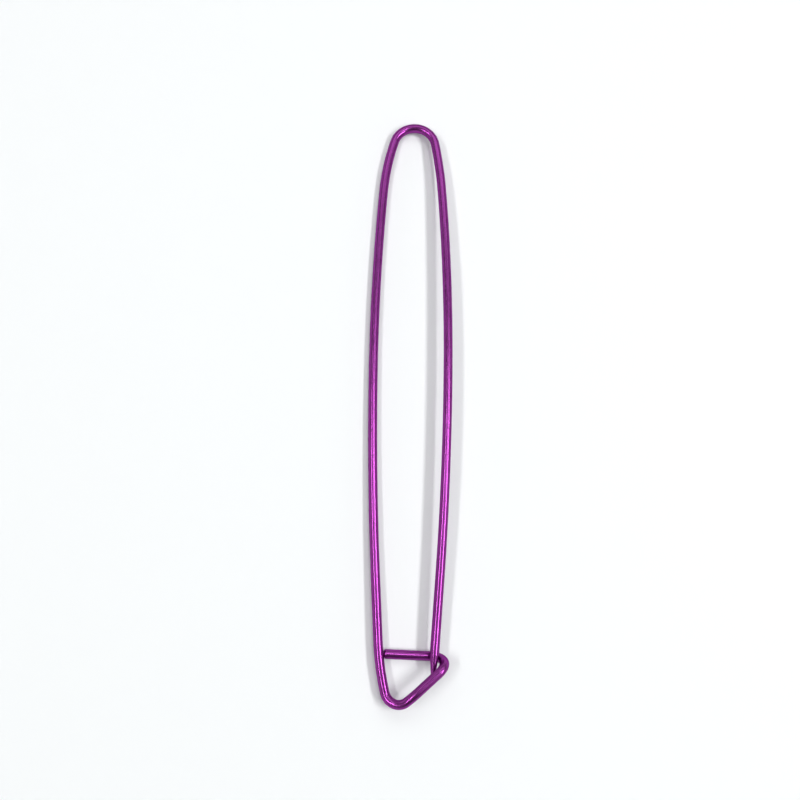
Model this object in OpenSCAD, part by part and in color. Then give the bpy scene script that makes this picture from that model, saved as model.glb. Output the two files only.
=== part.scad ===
// Stitch holder, bent from one length of round aluminium wire like a long safety pin.
// Two bowed arms run side by side from a sprung bow. One ends in a tapered pin. The other
// turns round a heel into a slanted guard, a catch and a cross bar.
// It lies on the XY plane with its length along Y, the bow towards +Y and +Z up.
// The origin is on the table, under the middle of the holder.
// The wire's centreline is a chain of corners, and each corner is rounded by one bend.

/* [Wire] */
// Diameter of the wire
wire_d = 3; // [2.6:0.1:3.4]
// Bevel round the sawn end of the cross bar
end_bevel = 0.4; // [0.2:0.1:0.8]

/* [Loop] */
// Length of the flat outline, over the bow and the heel. Their tilt adds a little
outline_l = 196.6; // [185:0.1:230]
// Overall width, over both arms at their widest
loop_w = 27.5; // [25.5:0.1:34]
// Bend radius of the bow, at the centreline
bow_r = 7.3; // [6:0.1:8.5]
// Angle of the shoulders from the length of the holder
shoulder_splay = 14; // [11:0.5:18]
// How far below the top of the bow the corner of each shoulder lies
shoulder_drop = 14.4; // [13:0.1:18]
// How far the corner of the bow leans towards the pin
bow_lean = 2; // [0:0.1:3]
// How far below the top of the bow the corner of each upper arm lies
arm_drop = 54.5; // [45:0.5:65]
// Distance between the arms' centrelines at the cross bar
neck_w = 17.4; // [15:0.1:19]
// Straight length of each arm above the cross bar
arm_straight = 24; // [15:1:40]

/* [Heights] */
// How far the spine has risen at the corner of its lower arm
spine_lift = 0.2; // [0:0.1:0.6]
// How far the spine has risen at the cross bar
spine_bar_lift = 1.2; // [0.5:0.1:1.5]
// How far the pin has risen at its shoulder
shoulder_lift = 2.8; // [1:0.1:3]
// How far the pin has risen at the corners of its arm, where it bulges up most
pin_lift = 4.9; // [3:0.1:5.4]

/* [Catch] */
// Distance from the cross bar to the bottom of the heel, between centrelines
catch_l = 13.9; // [13:0.1:18]
// Drop of the foot of the spine below the cross bar
foot_drop = 3.2; // [3:0.1:5.5]
// Angle at which the spine enters the heel
heel_splay = 14; // [8:0.5:16]
// Bend radius of the heel, at the centreline
heel_r = 4.5; // [4:0.1:5]
// How far across from the heel's corner the guard has risen to its full height
guard_rise_w = 6.6; // [6.2:0.1:8]
// Angle of the guard from the width of the holder
guard_slant = 41.5; // [38:0.5:46]
// Distance from the pin's centreline at the cross bar to the far side of the catch
catch_reach = 3.3; // [3.2:0.1:5]
// Slant of the cross bar
bar_slant = 2.5; // [0:0.5:4]

/* [Pin] */
// Length of the tapered tip
tip_l = 7; // [4:0.1:9]
// Diameter of the rounded end of the tip
tip_d = 1.4; // [1:0.1:1.8]
// How far the tip reaches past the guard's centreline
tip_past_guard = 0.3; // [0:0.1:0.8]

/* [Clearances] */
// Gap between the pin and the cross bar under it
pin_gap = 0.3; // [0.1:0.05:0.4]
// Gap between the tip and the guard over it
guard_gap = 0.3; // [0.2:0.05:0.8]
// Gap between the end of the cross bar and the spine
bar_end_gap = 0.3; // [0.2:0.05:0.8]

/* [Hidden] */

wire_r = wire_d / 2;
half_w = loop_w / 2 - wire_r;
neck_x = neck_w / 2;
top_y = outline_l / 2 - wire_r;
bottom_y = -top_y;
bar_y = bottom_y + catch_l;

// Straight length that a bend takes up on each side of its corner
function reach(radius, turn) = radius * tan(turn / 2);
// Plan direction down the right-hand arm, at an angle from the length of the holder
function down(splay) = [sin(splay), -cos(splay)];
function unit(v) = v / norm(v);

// The loop in plan, right-hand side. The left-hand arm is its mirror image
loop_top = [0, top_y + bow_r * (1 / sin(shoulder_splay) - 1)];
loop_shoulder_l = (loop_top.y - top_y + shoulder_drop) / cos(shoulder_splay);
shoulder_corner = loop_top + loop_shoulder_l * down(shoulder_splay);
upper_corner = [half_w, top_y - arm_drop];
// The upper arm takes what the shoulder leaves, and just touches the full width
loop_turn = 180 - 2 * shoulder_splay;
shoulder_reach = loop_shoulder_l - reach(bow_r, loop_turn);
widest_y = upper_corner.y - norm(upper_corner - shoulder_corner) + shoulder_reach;
// The lower arm takes as much of its corner's two legs, and leaves arm_straight of the second
widest_to_bar = [half_w - neck_x, widest_y - bar_y];
lower_reach = (widest_to_bar * widest_to_bar - arm_straight ^ 2)
    / (2 * (widest_to_bar.y + arm_straight));
lower_corner = [half_w, widest_y - lower_reach];
neck_splay = atan(widest_to_bar.x / (lower_corner.y - bar_y));

// The catch in plan. The heel just touches the bottom line
foot_corner = [neck_x - foot_drop * tan(neck_splay), bar_y - foot_drop];
heel_turn = 90 - heel_splay + guard_slant;
heel_y = bottom_y + heel_r * (1 - sin(heel_splay)) - reach(heel_r, heel_turn) * cos(heel_splay);
heel_x = (foot_corner.y - heel_y) * tan(heel_splay) - foot_corner.x;
guard_x = heel_x + guard_rise_w;
catch_x = neck_x + catch_reach;
function guard_y(x) = heel_y + (x - heel_x) * tan(guard_slant);
function bar_line_y(x) = bar_y - (x - neck_x) * tan(bar_slant);
// Where the pin's centreline passes under the guard's
crossing_x = neck_x - (bar_y - guard_y(neck_x)) * tan(neck_splay)
    / (1 + tan(guard_slant) * tan(neck_splay));
tip_end = [crossing_x, guard_y(crossing_x)] + tip_past_guard * down(-neck_splay);
bar_end_x = wire_r + bar_end_gap - neck_x;

// Heights of the centreline. The bow, the spine's upper arm and the cross bar rest on the table
rest_z = wire_r;
shoulder_z = rest_z + shoulder_lift;
arm_z = rest_z + pin_lift;
over_bar_z = rest_z + wire_d + pin_gap;
spine_arm_z = rest_z + spine_lift;
lower_l = lower_corner.y - bar_y;
// Below the lower corners, the pin drops towards the bar and the spine goes on rising
function pin_height(y) = over_bar_z + (arm_z - over_bar_z) * (y - bar_y) / lower_l;
function spine_height(y) = spine_arm_z
    + (spine_bar_lift - spine_lift) * (lower_corner.y - y) / lower_l;
tip_z = pin_height(tip_end.y);
guard_z = tip_z + tip_d / 2 + guard_gap + wire_r;
heel_z = spine_height(heel_y);
// Corners of the centreline, from the tip of the pin to the end of the cross bar
CORNERS = ["tip", "pin lower arm", "pin upper arm", "pin shoulder", "bow", "spine shoulder",
    "spine upper arm", "spine lower arm", "spine foot", "heel", "guard", "catch top",
    "catch foot", "bar end"];
function corner(name) = search([name], CORNERS)[0];
TIP = corner("tip");
PIN_LOWER = corner("pin lower arm");
PIN_UPPER = corner("pin upper arm");
PIN_SHOULDER = corner("pin shoulder");
BOW = corner("bow");
SPINE_SHOULDER = corner("spine shoulder");
SPINE_UPPER = corner("spine upper arm");
SPINE_LOWER = corner("spine lower arm");
SPINE_FOOT = corner("spine foot");
HEEL = corner("heel");
GUARD = corner("guard");
CATCH_TOP = corner("catch top");
CATCH_FOOT = corner("catch foot");
corners = [
    [tip_end.x, tip_end.y, tip_z],
    [lower_corner.x, lower_corner.y, arm_z],
    [upper_corner.x, upper_corner.y, arm_z],
    [shoulder_corner.x, shoulder_corner.y, shoulder_z],
    [bow_lean, loop_top.y, rest_z],
    [-shoulder_corner.x, shoulder_corner.y, rest_z],
    [-upper_corner.x, upper_corner.y, rest_z],
    [-lower_corner.x, lower_corner.y, spine_arm_z],
    [-foot_corner.x, foot_corner.y, spine_height(foot_corner.y)],
    [heel_x, heel_y, heel_z],
    [guard_x, guard_y(guard_x), guard_z],
    [catch_x, guard_y(catch_x), guard_z],
    [catch_x, bar_line_y(catch_x), rest_z],
    [bar_end_x, bar_line_y(bar_end_x), rest_z]
];
function leg(i) = norm(corners[i + 1] - corners[i]);
function way(i) = unit(corners[i + 1] - corners[i]);
function turn(i) = acos(way(i - 1) * way(i));

// How much of its two legs each bend takes up. Bends that meet share the leg between them
bow_taken = reach(bow_r, turn(BOW));
pin_shoulder_taken = leg(PIN_SHOULDER) - bow_taken;
pin_upper_taken = leg(PIN_UPPER) - pin_shoulder_taken;
spine_shoulder_taken = leg(BOW) - bow_taken;
spine_upper_taken = leg(SPINE_SHOULDER) - spine_shoulder_taken;
heel_taken = reach(heel_r, turn(HEEL));
catch_r = leg(CATCH_TOP) / (tan(turn(CATCH_TOP) / 2) + tan(turn(CATCH_FOOT) / 2));
taken = [
    0,
    leg(PIN_LOWER) - pin_upper_taken,
    pin_upper_taken,
    pin_shoulder_taken,
    bow_taken,
    spine_shoulder_taken,
    spine_upper_taken,
    leg(SPINE_UPPER) - spine_upper_taken,
    leg(SPINE_FOOT) - heel_taken,
    heel_taken,
    leg(HEEL) - heel_taken,
    reach(catch_r, turn(CATCH_TOP)),
    reach(catch_r, turn(CATCH_FOOT)),
    0
];

// Stands its children on a point, with their Z along the given way
module along(point, way) {
    translate(point)
        rotate([0, acos(way.z), atan2(way.y, way.x)])
            children();
}

// Straight wire that follows corner i
module run(i) {
    along(corners[i] + taken[i] * way(i), way(i))
        cylinder(h = leg(i) - taken[i] - taken[i + 1], r = wire_r, $fn = 64);
}

// Bent wire round corner i
module bend(i) {
    radius = taken[i] / tan(turn(i) / 2);
    start = corners[i] - taken[i] * way(i - 1);
    forward = way(i - 1);
    normal = unit(cross(way(i - 1), way(i)));
    outward = cross(forward, normal);
    multmatrix([
        [outward.x, forward.x, normal.x, start.x],
        [outward.y, forward.y, normal.y, start.y],
        [outward.z, forward.z, normal.z, start.z],
        [0, 0, 0, 1]
    ])
        translate([-radius, 0, 0])
            rotate_extrude(angle = turn(i), $fn = 360)
                translate([radius, 0])
                    circle(r = wire_r, $fn = 64);
}

// The sprung bow that joins the two arms
module spring_bow() {
    color("#8c3a94") bend(BOW);
}

// The fixed arm, from the bow down to the catch
module spine_shoulder() {
    color("#8c3a94") bend(SPINE_SHOULDER);
}

module spine_upper_arm() {
    color("#8c3a94") bend(SPINE_UPPER);
}

module spine_lower_arm() {
    color("#8c3a94") bend(SPINE_LOWER);
}

module spine_shank() {
    color("#8c3a94") run(SPINE_LOWER);
}

module spine_foot() {
    color("#8c3a94") bend(SPINE_FOOT);
}

module heel_bend() {
    color("#8c3a94") bend(HEEL);
}

// The bend where the wire has risen over the pin and levels off
module guard_bend() {
    color("#8c3a94") bend(GUARD);
}

// The slanted bar that keeps the tip of the pin down
module guard_bar() {
    color("#8c3a94") run(GUARD);
}

// The two bends that bring the wire down from the guard to the cross bar
module catch_top_bend() {
    color("#8c3a94") bend(CATCH_TOP);
}

module catch_foot_bend() {
    color("#8c3a94") bend(CATCH_FOOT);
}

// The bar under the pin, with a bevelled sawn end beside the spine
module cross_bar() {
    full_l = leg(CATCH_FOOT) - taken[CATCH_FOOT] - end_bevel;
    color("#8c3a94")
        along(corners[CATCH_FOOT] + taken[CATCH_FOOT] * way(CATCH_FOOT), way(CATCH_FOOT)) {
            cylinder(h = full_l, r = wire_r, $fn = 64);
            translate([0, 0, full_l])
                cylinder(h = end_bevel, r1 = wire_r, r2 = wire_r - end_bevel, $fn = 64);
        }
}

// The sprung arm, from the bow down to the shaft
module pin_shoulder() {
    color("#8c3a94") bend(PIN_SHOULDER);
}

module pin_upper_arm() {
    color("#8c3a94") bend(PIN_UPPER);
}

module pin_lower_arm() {
    color("#8c3a94") bend(PIN_LOWER);
}

// The straight shaft that the stitches slide on to
module pin_shaft() {
    color("#8c3a94")
        along(corners[TIP] + tip_l * way(TIP), way(TIP))
            cylinder(h = leg(TIP) - taken[PIN_LOWER] - tip_l, r = wire_r, $fn = 64);
}

// The tapered tip, rounded at its end
module pin_tip() {
    tip_r = tip_d / 2;
    color("#8c3a94")
        along(corners[TIP] + tip_r * way(TIP), way(TIP)) {
            sphere(r = tip_r, $fn = 64);
            cylinder(h = tip_l - tip_r, r1 = tip_r, r2 = wire_r, $fn = 64);
        }
}

spring_bow();
spine_shoulder();
spine_upper_arm();
spine_lower_arm();
spine_shank();
spine_foot();
heel_bend();
guard_bend();
guard_bar();
catch_top_bend();
catch_foot_bend();
cross_bar();
pin_shoulder();
pin_upper_arm();
pin_lower_arm();
pin_shaft();
pin_tip();
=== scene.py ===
import math

import bmesh
import bpy
from mathutils import Matrix, Vector


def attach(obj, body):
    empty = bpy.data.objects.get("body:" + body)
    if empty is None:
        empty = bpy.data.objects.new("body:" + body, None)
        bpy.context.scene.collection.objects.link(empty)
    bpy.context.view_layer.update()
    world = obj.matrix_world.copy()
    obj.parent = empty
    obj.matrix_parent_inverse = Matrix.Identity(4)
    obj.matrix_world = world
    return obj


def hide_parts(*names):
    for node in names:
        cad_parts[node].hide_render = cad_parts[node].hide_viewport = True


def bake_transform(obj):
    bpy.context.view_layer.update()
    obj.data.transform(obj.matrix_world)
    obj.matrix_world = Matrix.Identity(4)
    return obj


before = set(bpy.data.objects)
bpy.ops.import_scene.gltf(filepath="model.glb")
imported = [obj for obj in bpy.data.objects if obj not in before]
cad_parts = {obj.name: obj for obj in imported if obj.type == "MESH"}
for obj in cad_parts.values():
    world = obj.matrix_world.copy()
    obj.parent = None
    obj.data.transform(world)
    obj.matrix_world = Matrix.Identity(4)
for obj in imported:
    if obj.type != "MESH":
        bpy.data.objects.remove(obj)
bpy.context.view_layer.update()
scene = bpy.context.scene

# Sizes of the wire, in metres
WIRE_R = 0.0015
TIP_R = 0.0007
TIP_L = 0.007
END_BEVEL = 0.0004
# The end's edge is rounded by a ring halfway along the bevel, this share of the bevel in
BEVEL_MIDDLE = 0.42
# The first ring of the point, as a share of the tip's radius
POINT_SHARE = 0.02

# How fine the wire's mesh is: faces round it, steps along a straight and along the taper,
# the angle between rings on the point, and for a bend the longest step, the widest angle
# and the least number of steps
SIDES = 56
RUN_STEPS = 30
TAPER_STEPS = 12
POINT_DEGREES = 9
BEND_STEP = 0.0012
BEND_DEGREES = 2.5
BEND_LEAST = 6

# Corners of the wire's centreline in millimetres, from the tip of the pin to the end of the
# cross bar
CORNERS = [
    (8.35897, -89.1405, 4.6308),
    (12.25, -23.889, 6.4),
    (12.25, 42.3, 6.4),
    (9.29371, 82.4, 4.3),
    (2.0, 119.675, 1.5),
    (-9.29371, 82.4, 1.5),
    (-12.25, 42.3, 1.5),
    (-12.25, -23.889, 1.7),
    (-8.50749, -86.1, 2.75423),
    (-4.89619, -100.584, 2.99968),
    (1.70381, -94.745, 7.1308),
    (12.0, -85.6357, 7.1308),
    (12.0, -83.0441, 1.5),
    (-6.9, -82.2189, 1.5),
]
# How much of its two legs the bend at each corner takes up, in millimetres
TAKEN = [0, 34.9676, 31.2214, 9.04219, 29.0428, 9.90558, 30.3032, 35.8861, 7.96417, 6.9654,
         2.76714, 2.68914, 3.50942, 0]
# The node of the bend at a corner, and of the straight that leaves it
BENDS = {1: "pin_lower_arm", 2: "pin_upper_arm", 3: "pin_shoulder", 4: "spring_bow",
         5: "spine_shoulder", 6: "spine_upper_arm", 7: "spine_lower_arm", 8: "spine_foot",
         9: "heel_bend", 10: "guard_bend", 11: "catch_top_bend", 12: "catch_foot_bend"}
RUNS = {0: "pin_shaft", 7: "spine_shank", 10: "guard_bar", 12: "cross_bar"}

# The anodised finish. The lines run along the wire: their scale is round it and per metre
# along it. The mottle's scale is per metre
SATIN = {"Metallic": 1.0, "Specular Tint": (0.42, 0.16, 0.44, 1), "IOR": 1.5,
         "Coat Weight": 0.10, "Coat Roughness": 0.2}
LINES_SCALE = (46.0, 90.0, 1.0)
LINES = {"Scale": 1.0, "Detail": 3.0, "Roughness": 0.55}
MOTTLE = {"Scale": 420.0, "Detail": 4.0, "Roughness": 0.6}
MOTTLE_SHARE = 0.45
# Where the colour starts and ends to change, and the two colours
DARKER = (0.45, (0.238, 0.0345, 0.238, 1))
LIGHTER = (0.95, (0.330, 0.0565, 0.332, 1))
ROUGHNESS = {"From Min": 0.3, "From Max": 0.75, "To Min": 0.255, "To Max": 0.295}
LINES_BUMP = {"Strength": 0.08, "Distance": 0.00003}

# The table top and the wall round it, in metres. The table lies a hair under the wire, and the
# wall is well outside the lamps
PALE_PAINT = {"Base Color": (0.922, 0.943, 0.948, 1), "Roughness": 0.6}
TABLE_SPECULAR = 0.15
TABLE_SIZE = 6.0
TABLE_Z = -0.00003
WALL_R = 1.4
WALL_H = 0.5
WALL_SIDES = 128
WALL_LEVEL = 0.7

# The world's strength: at the horizon, and what it gains towards +Y, beyond the bow, and
# towards +Z, overhead
WORLD_BASE = 0.115
WORLD_Y = 0.08
WORLD_Z = 0.085

# Rectangular lamps: name, place, size across and along, in metres, and watts
LAMPS = [
    ("right_light", (0.80, -0.15, 1.15), (0.18, 0.8), 9.3),
    ("left_light", (-0.83, -0.15, 1.12), (0.115, 0.8), 5.6),
    ("middle_light", (0.13, 0.15, 1.1), (0.09, 0.10), 1.35),
    ("far_light", (0.0, 0.80, 0.95), (1.7, 0.5), 3.6),
]

# The camera, in metres, with its lens and sensor in millimetres. Its ways are those of the
# picture: to the right, down and ahead
CAMERA_PLACE = (-0.04597795, -0.05532984, 0.29691525)
CAMERA_RIGHT = Vector((0.98904268, 0.01608107, 0.14675143))
CAMERA_DOWN = Vector((0.04225210, -0.98330154, -0.17701085))
CAMERA_AHEAD = Vector((0.14145438, 0.18127184, -0.97320665))
CAMERA_LENS = 40.945
CAMERA_SENSOR = 36
CAMERA_NEAR = 0.01
CAMERA_FAR = 20


def bend_points(corner, before, after, taken):
    """Points and tangents of the arc that rounds a corner, which takes up taken of each leg."""
    turn = before.angle(after)
    radius = taken / math.tan(turn / 2)
    inward = before.cross(after).normalized().cross(before)
    start = corner - taken * before
    by_length, by_angle = radius * turn / BEND_STEP, math.degrees(turn) / BEND_DEGREES
    steps = max(BEND_LEAST, math.ceil(max(by_length, by_angle)))
    pts, tans = [], []
    for k in range(steps + 1):
        t = turn * k / steps
        pts.append(start + radius * (math.sin(t) * before + (1 - math.cos(t)) * inward))
        tans.append(math.cos(t) * before + math.sin(t) * inward)
    return pts, tans


def centreline():
    """The wire as a list of (node, points, tangents), in metres, in order along the wire."""
    corners = [Vector(c) / 1000 for c in CORNERS]
    taken = [t / 1000 for t in TAKEN]
    ways = [(b - a).normalized() for a, b in zip(corners, corners[1:])]
    out = []

    def straight(node, start, way, along):
        out.append((node, [start + s * way for s in along], [way] * len(along)))

    for i, corner in enumerate(corners):
        if i in BENDS:
            out.append((BENDS[i], *bend_points(corner, ways[i - 1], ways[i], taken[i])))
        if i in RUNS:
            start = corner + taken[i] * ways[i]
            end = corners[i + 1] - taken[i + 1] * ways[i]
            if RUNS[i] == "pin_shaft":
                along = [TIP_R * (1 - math.cos(math.radians(d)))
                         for d in range(0, 90 + 1, POINT_DEGREES)]
                along += [TIP_R + (TIP_L - TIP_R) * k / TAPER_STEPS
                          for k in range(1, TAPER_STEPS + 1)]
                straight("pin_tip", start, ways[i], along)
                start = start + TIP_L * ways[i]
            length = (end - start).length
            along = [length * k / RUN_STEPS for k in range(RUN_STEPS + 1)]
            if RUNS[i] == "cross_bar":
                along[-1:] = [length - END_BEVEL, length - END_BEVEL / 2, length]
            straight(RUNS[i], start, ways[i], along)
    return out


def wire_radii(node, pts):
    """Radius of the wire at each of a node's points."""
    if node == "pin_tip":
        radii = []
        for p in pts:
            s = (p - pts[0]).length
            if s < TIP_R:
                round_r = TIP_R ** 2 - (TIP_R - s) ** 2
                radii.append(math.sqrt(max(round_r, (TIP_R * POINT_SHARE) ** 2)))
            else:
                radii.append(TIP_R + (WIRE_R - TIP_R) * (s - TIP_R) / (TIP_L - TIP_R))
        return radii
    radii = [WIRE_R] * len(pts)
    if node == "cross_bar":
        radii[-2:] = [WIRE_R - END_BEVEL * BEVEL_MIDDLE, WIRE_R - END_BEVEL]
    return radii


def sweep(name, pts, tans, ups, from_start, radii):
    """A closed tube along the points. UV map "wire": u round the wire, v metres along it."""
    bm = bmesh.new()
    uv = bm.loops.layers.uv.new("wire")
    rings, dist = [], [0.0]
    for a, b in zip(pts, pts[1:]):
        dist.append(dist[-1] + (b - a).length)
    for p, t, up, r in zip(pts, tans, ups, radii):
        side = t.cross(up).normalized()
        top = side.cross(t).normalized()
        ring = []
        for k in range(SIDES):
            angle = 2 * math.pi * k / SIDES
            ring.append(bm.verts.new(p + r * (math.sin(angle) * side + math.cos(angle) * top)))
        rings.append(ring)
    for i in range(len(rings) - 1):
        for k in range(SIDES):
            n = (k + 1) % SIDES
            f = bm.faces.new((rings[i][k], rings[i + 1][k], rings[i + 1][n], rings[i][n]))
            f.smooth = True
            us = (k / SIDES, k / SIDES, (k + 1) / SIDES, (k + 1) / SIDES)
            vs = (dist[i], dist[i + 1], dist[i + 1], dist[i])
            for loop, u, v in zip(f.loops, us, vs):
                loop[uv].uv = (u, from_start + v)
    for ring, v in ((rings[0], 0.0), (rings[-1][::-1], dist[-1])):
        f = bm.faces.new(ring)
        f.smooth = False
        for loop in f.loops:
            loop[uv].uv = (0.5, from_start + v)
        for e in f.edges:
            e.smooth = False
    bmesh.ops.recalc_face_normals(bm, faces=bm.faces)
    mesh = bpy.data.meshes.new(name)
    bm.to_mesh(mesh)
    bm.free()
    ob = bpy.data.objects.new(name, mesh)
    scene.collection.objects.link(ob)
    return ob, dist[-1]


def set_inputs(node, values):
    """Sets a node's unlinked inputs, by name or by number."""
    for key, value in values.items():
        node.inputs[key].default_value = value


def add_node(tree, kind, values=None, **settings):
    """A new node in a node tree, with its settings and the values of its inputs."""
    node = tree.nodes.new(kind)
    for key, value in settings.items():
        setattr(node, key, value)
    set_inputs(node, values or {})
    return node


def material(name, values):
    """A new material and its node tree, with the values on its Principled shader."""
    mat = bpy.data.materials.new(name)
    mat.use_nodes = True
    set_inputs(mat.node_tree.nodes["Principled BSDF"], values)
    return mat, mat.node_tree


def anodised(name):
    """Satin purple anodising over drawn aluminium wire, with fine lines along the wire."""
    mat, tree = material(name, SATIN)
    link = tree.links.new
    bsdf = tree.nodes["Principled BSDF"]
    wire_uv = add_node(tree, "ShaderNodeUVMap", uv_map="wire")
    stretch = add_node(tree, "ShaderNodeMapping", {"Scale": LINES_SCALE})
    lines = add_node(tree, "ShaderNodeTexNoise", LINES)
    link(wire_uv.outputs["UV"], stretch.inputs["Vector"])
    link(stretch.outputs["Vector"], lines.inputs["Vector"])
    coord = add_node(tree, "ShaderNodeTexCoord")
    mottle = add_node(tree, "ShaderNodeTexNoise", MOTTLE)
    link(coord.outputs["Object"], mottle.inputs["Vector"])
    both = add_node(tree, "ShaderNodeMath", {1: MOTTLE_SHARE}, operation="MULTIPLY_ADD")
    link(mottle.outputs["Fac"], both.inputs[0])
    link(lines.outputs["Fac"], both.inputs[2])
    ramp = add_node(tree, "ShaderNodeValToRGB")
    for element, (position, colour) in zip(ramp.color_ramp.elements, (DARKER, LIGHTER)):
        element.position = position
        element.color = colour
    link(both.outputs[0], ramp.inputs["Fac"])
    link(ramp.outputs["Color"], bsdf.inputs["Base Color"])
    rough = add_node(tree, "ShaderNodeMapRange", ROUGHNESS)
    link(lines.outputs["Fac"], rough.inputs["Value"])
    link(rough.outputs["Result"], bsdf.inputs["Roughness"])
    bump = add_node(tree, "ShaderNodeBump", LINES_BUMP)
    link(lines.outputs["Fac"], bump.inputs["Height"])
    link(bump.outputs["Normal"], bsdf.inputs["Normal"])
    return mat


def wall_paint(name):
    """Pale paint that camera, glossy and transmission rays see at one even level."""
    mat, tree = material(name, PALE_PAINT)
    link = tree.links.new
    even = add_node(tree, "ShaderNodeEmission", {"Strength": WALL_LEVEL})
    ray = add_node(tree, "ShaderNodeLightPath")
    glossy_or_through = add_node(tree, "ShaderNodeMath", operation="MAXIMUM")
    link(ray.outputs["Is Glossy Ray"], glossy_or_through.inputs[0])
    link(ray.outputs["Is Transmission Ray"], glossy_or_through.inputs[1])
    any_view = add_node(tree, "ShaderNodeMath", operation="MAXIMUM")
    link(ray.outputs["Is Camera Ray"], any_view.inputs[0])
    link(glossy_or_through.outputs[0], any_view.inputs[1])
    mix = add_node(tree, "ShaderNodeMixShader")
    link(any_view.outputs[0], mix.inputs["Fac"])
    link(tree.nodes["Principled BSDF"].outputs["BSDF"], mix.inputs[1])
    link(even.outputs["Emission"], mix.inputs[2])
    link(mix.outputs["Shader"], tree.nodes["Material Output"].inputs["Surface"])
    return mat


def lamp(name, place, size, watts):
    """A rectangular light aimed at the origin. The second side of its size runs along Y."""
    data = bpy.data.lights.new(name, "AREA")
    data.shape = "RECTANGLE"
    data.size, data.size_y = size
    data.energy = watts
    ob = bpy.data.objects.new(name, data)
    back = Vector(place).normalized()
    side = Vector((0, 1, 0)).cross(back).normalized()
    turn = Matrix((side, back.cross(side), back)).transposed().to_4x4()
    ob.matrix_world = Matrix.Translation(place) @ turn
    scene.collection.objects.link(ob)


# The wire, one piece for each of its straights and bends. The way up is carried along it, so
# that the pieces' faces and lines meet
wire_mat = anodised("anodised_wire")
up = Vector((0, 0, 1))
so_far = 0.0
for node, pts, tans in centreline():
    ups = []
    for t in tans:
        up = (up - up.dot(t) * t).normalized()
        ups.append(up.copy())
    piece, length = sweep(node + "_wire", pts, tans, ups, so_far, wire_radii(node, pts))
    so_far += length
    piece.data.materials.append(wire_mat)
    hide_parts(node)
    if node == "spring_bow":
        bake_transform(piece)
    else:
        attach(piece, "pin" if node.startswith("pin_") else "holder")

# The table top
bpy.ops.mesh.primitive_plane_add(size=TABLE_SIZE, location=(0, 0, TABLE_Z))
floor = bpy.context.object
floor.name = "table_top"
floor_mat, floor_tree = material("table_top", PALE_PAINT)
set_inputs(floor_tree.nodes["Principled BSDF"], {"Specular IOR Level": TABLE_SPECULAR})
floor.data.materials.append(floor_mat)

# A low pale wall round the table top, so that level views end in a pale ground
bpy.ops.mesh.primitive_cylinder_add(vertices=WALL_SIDES, radius=WALL_R, depth=WALL_H,
                                    end_fill_type="NOTHING", location=(0, 0, WALL_H / 2))
wall = bpy.context.object
wall.name = "studio_wall"
wall.data.materials.append(wall_paint("studio_wall"))

# Light
world = bpy.data.worlds.new("room")
scene.world = world
world.use_nodes = True
tree = world.node_tree
sky = tree.nodes["Background"]
set_inputs(sky, {"Color": (1.0, 1.0, 1.0, 1)})
way = add_node(tree, "ShaderNodeTexCoord")
split = add_node(tree, "ShaderNodeSeparateXYZ")
along_y = add_node(tree, "ShaderNodeMath", {1: WORLD_Y, 2: WORLD_BASE}, operation="MULTIPLY_ADD")
along_z = add_node(tree, "ShaderNodeMath", {1: WORLD_Z}, operation="MULTIPLY_ADD")
tree.links.new(way.outputs["Generated"], split.inputs["Vector"])
tree.links.new(split.outputs["Y"], along_y.inputs[0])
tree.links.new(split.outputs["Z"], along_z.inputs[0])
tree.links.new(along_y.outputs[0], along_z.inputs[2])
tree.links.new(along_z.outputs[0], sky.inputs["Strength"])
for name, place, size, watts in LAMPS:
    lamp(name, place, size, watts)

# Camera, at the photograph's place
cam_data = bpy.data.cameras.new("camera")
cam = bpy.data.objects.new("camera", cam_data)
scene.collection.objects.link(cam)
cam_data.sensor_width = CAMERA_SENSOR
cam_data.lens = CAMERA_LENS
cam_data.clip_start = CAMERA_NEAR
cam_data.clip_end = CAMERA_FAR
turn = Matrix((CAMERA_RIGHT, -CAMERA_DOWN, -CAMERA_AHEAD)).transposed().to_4x4()
cam.matrix_world = Matrix.Translation(CAMERA_PLACE) @ turn
scene.camera = cam
scene.view_settings.view_transform = "Standard"
